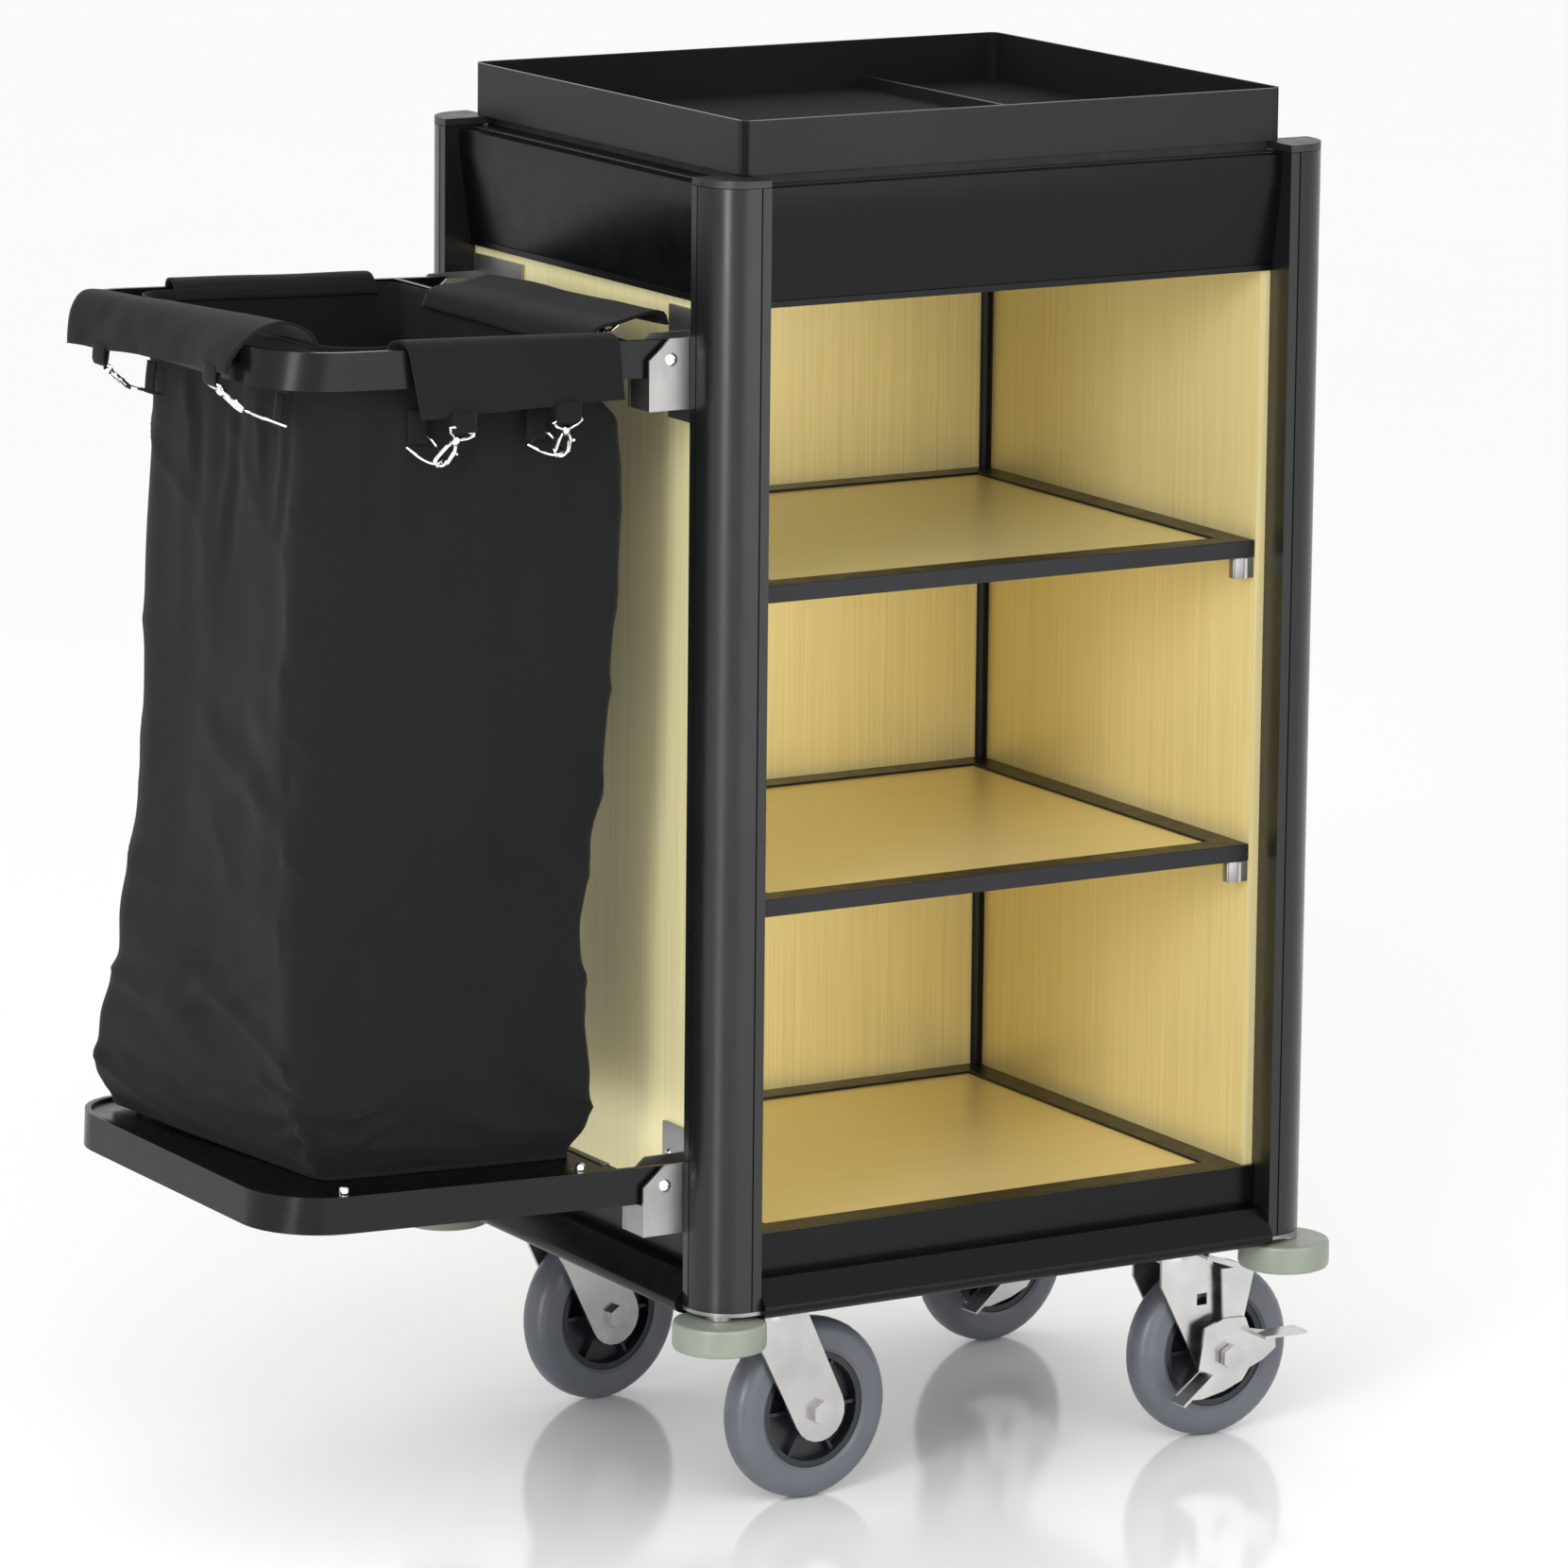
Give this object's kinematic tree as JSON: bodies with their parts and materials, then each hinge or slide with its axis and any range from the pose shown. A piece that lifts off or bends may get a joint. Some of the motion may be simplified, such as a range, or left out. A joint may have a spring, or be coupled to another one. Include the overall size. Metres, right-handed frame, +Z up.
{
  "type": "housekeeping cart",
  "caption": "Open-fronted service cabinet with shelves and a top tray, rolling on swivel casters, with a folding bag rack and a folding platform at one end.",
  "frame": {"origin": "on the floor, under the middle of the cart's bounding box", "axes": "+Z up; -Y out of the open shelf side; -X towards the bag rack"},
  "size_m": [0.9618, 0.5356, 1.14],
  "materials": {
    "black_anodised": "satin black anodised",
    "black_plastic": "matte",
    "black_trim": "satin black",
    "gold_laminate": "board with a brushed gold laminate",
    "stainless": "fine brushed",
    "black_board": "black painted board",
    "black_sheet": "satin black powder coat",
    "zinc": "bright zinc plated",
    "grey_tyre": "smooth grey",
    "dark_hub": "moulded dark grey",
    "bumper_rubber": "pale grey-green",
    "black_fabric": "plain woven polyester"
  },
  "bodies": {
    "cabinet": {"corner_post_front_left": "black_anodised", "corner_post_front_right": "black_anodised", "corner_post_back_left": "black_anodised", "corner_post_back_right": "black_anodised", "post_cap_front_left": "black_plastic", "post_cap_front_right": "black_plastic", "post_cap_back_left": "black_plastic", "post_cap_back_right": "black_plastic", "left_panel": "gold_laminate", "right_panel": "gold_laminate", "back_panel": "gold_laminate", "bottom_shelf_board": "gold_laminate", "bottom_shelf_frame": "black_trim", "lower_shelf_board": "gold_laminate", "lower_shelf_frame": "black_trim", "upper_shelf_board": "gold_laminate", "upper_shelf_frame": "black_trim", "chassis_board": "black_board", "top_board": "black_board", "tray_box": "black_anodised", "tray_divider": "black_plastic", "front_fascia": "black_anodised", "back_fascia": "black_anodised", "left_fascia": "black_anodised", "right_fascia": "black_anodised", "front_base_rail": "black_anodised", "back_base_rail": "black_anodised", "left_base_rail": "black_anodised", "right_base_rail": "black_anodised", "upper_bracket_front": "stainless", "upper_bracket_back": "stainless", "lower_bracket_front": "stainless", "lower_bracket_back": "stainless", "corner_plate_front_left": "stainless", "corner_plate_front_right": "stainless", "corner_plate_back_left": "stainless", "corner_plate_back_right": "stainless"},
    "bag_rack": {"bag_frame": "black_sheet", "bag": "black_fabric"},
    "platform": {"platform_frame": "black_sheet", "platform_board": "black_sheet"},
    "caster_front_left": {"fork_front_left": "zinc"},
    "wheel_front_left": {"tyre_front_left": "grey_tyre", "hub_front_left": "dark_hub"},
    "caster_front_right": {"fork_front_right": "zinc"},
    "wheel_front_right": {"tyre_front_right": "grey_tyre", "hub_front_right": "dark_hub"},
    "caster_back_left": {"fork_back_left": "zinc"},
    "wheel_back_left": {"tyre_back_left": "grey_tyre", "hub_back_left": "dark_hub"},
    "caster_back_right": {"fork_back_right": "zinc"},
    "wheel_back_right": {"tyre_back_right": "grey_tyre", "hub_back_right": "dark_hub"},
    "brake_front_right": {"brake_rocker_front_right": "zinc"},
    "brake_back_right": {"brake_rocker_back_right": "zinc"},
    "bumper_front_left": {"bumper_roller_front_left": "bumper_rubber"},
    "bumper_front_right": {"bumper_roller_front_right": "bumper_rubber"},
    "bumper_back_left": {"bumper_roller_back_left": "bumper_rubber"},
    "bumper_back_right": {"bumper_roller_back_right": "bumper_rubber"}
  },
  "joints": [
    {"name": "bag_rack_fold", "type": "hinge", "parent": "cabinet", "child": "bag_rack", "pos_m": [-0.1376, 0, 0.953], "axis": [0, 1, 0], "range_deg": [0, 83], "deforming": ["bag"]},
    {"name": "platform_fold", "type": "hinge", "parent": "cabinet", "child": "platform", "pos_m": [-0.1376, 0, 0.2865], "axis": [0, 1, 0], "range_deg": [0, 88]},
    {"name": "swivel_front_left", "type": "hinge", "parent": "cabinet", "child": "caster_front_left", "pos_m": [-0.0261, -0.168, 0.17], "axis": [0, 0, 1], "continuous": true},
    {"name": "spin_front_left", "type": "hinge", "parent": "caster_front_left", "child": "wheel_front_left", "pos_m": [0.01574, -0.16434, 0.075], "axis": [-0.0872, 0.9962, 0], "continuous": true},
    {"name": "swivel_front_right", "type": "hinge", "parent": "cabinet", "child": "caster_front_right", "pos_m": [0.3639, -0.168, 0.17], "axis": [0, 0, 1], "continuous": true},
    {"name": "spin_front_right", "type": "hinge", "parent": "caster_front_right", "child": "wheel_front_right", "pos_m": [0.4059, -0.168, 0.075], "axis": [0, 1, 0], "continuous": true},
    {"name": "swivel_back_left", "type": "hinge", "parent": "cabinet", "child": "caster_back_left", "pos_m": [-0.0261, 0.168, 0.17], "axis": [0, 0, 1], "continuous": true},
    {"name": "spin_back_left", "type": "hinge", "parent": "caster_back_left", "child": "wheel_back_left", "pos_m": [0.01549, 0.17385, 0.075], "axis": [-0.1392, 0.9903, 0], "continuous": true},
    {"name": "swivel_back_right", "type": "hinge", "parent": "cabinet", "child": "caster_back_right", "pos_m": [0.3639, 0.168, 0.17], "axis": [0, 0, 1], "continuous": true},
    {"name": "spin_back_right", "type": "hinge", "parent": "caster_back_right", "child": "wheel_back_right", "pos_m": [0.40567, 0.17239, 0.075], "axis": [-0.1045, 0.9945, 0], "continuous": true},
    {"name": "brake_front_right", "type": "hinge", "parent": "caster_front_right", "child": "brake_front_right", "pos_m": [0.4059, -0.202, 0.075], "axis": [0, 1, 0], "range_deg": [0, 20]},
    {"name": "brake_back_right", "type": "hinge", "parent": "caster_back_right", "child": "brake_back_right", "pos_m": [0.40922, 0.13858, 0.075], "axis": [-0.1045, 0.9945, 0], "range_deg": [0, 20]},
    {"name": "bumper_front_left", "type": "hinge", "parent": "cabinet", "child": "bumper_front_left", "pos_m": [-0.1029, -0.2298, 0.167], "axis": [0, 0, 1], "continuous": true},
    {"name": "bumper_front_right", "type": "hinge", "parent": "cabinet", "child": "bumper_front_right", "pos_m": [0.4407, -0.2298, 0.167], "axis": [0, 0, 1], "continuous": true},
    {"name": "bumper_back_left", "type": "hinge", "parent": "cabinet", "child": "bumper_back_left", "pos_m": [-0.1029, 0.2298, 0.167], "axis": [0, 0, 1], "continuous": true},
    {"name": "bumper_back_right", "type": "hinge", "parent": "cabinet", "child": "bumper_back_right", "pos_m": [0.4407, 0.2298, 0.167], "axis": [0, 0, 1], "continuous": true}
  ]
}
